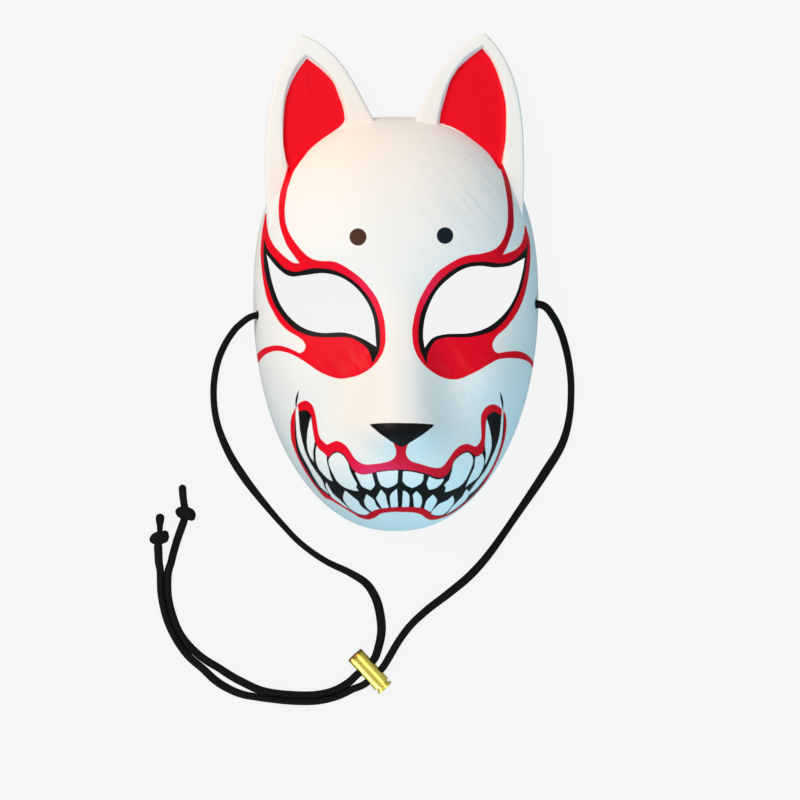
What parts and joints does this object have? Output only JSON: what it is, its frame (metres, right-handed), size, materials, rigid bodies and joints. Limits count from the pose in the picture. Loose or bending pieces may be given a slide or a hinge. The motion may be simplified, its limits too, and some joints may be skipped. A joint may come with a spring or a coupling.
{
  "type": "kitsune mask",
  "caption": "Full-face fox mask: a moulded, hand-painted shell with upright ears and open eyes, tied by black cords joined in a sprung brass toggle.",
  "frame": {"origin": "on the floor under the middle of the mask, which lies face up on its rim", "axes": "+Y from the chin to the ears, +Z out of the face, +X across the face to the right as it is looked at"},
  "size_m": [0.2224, 0.351, 0.0776],
  "materials": {
    "painted_shell": "satin white ground with red, black and white face paint",
    "cord": "round braided black cord",
    "toggle_brass": "polished yellow brass"
  },
  "bodies": {
    "mask": {"mask_shell": "painted_shell", "cord_left": "cord", "cord_right": "cord", "inner_knot_left": "cord", "inner_knot_right": "cord", "tail_knot_left": "cord", "tail_knot_right": "cord", "toggle_barrel": "toggle_brass"},
    "plunger": {"toggle_plunger": "toggle_brass"}
  },
  "joints": [
    {"name": "plunger_press", "type": "slide", "parent": "mask", "child": "plunger", "axis": [-0.673, 0.7396, 0], "range_m": [0, 0.0012], "stiffness_N_per_m": 1500}
  ]
}
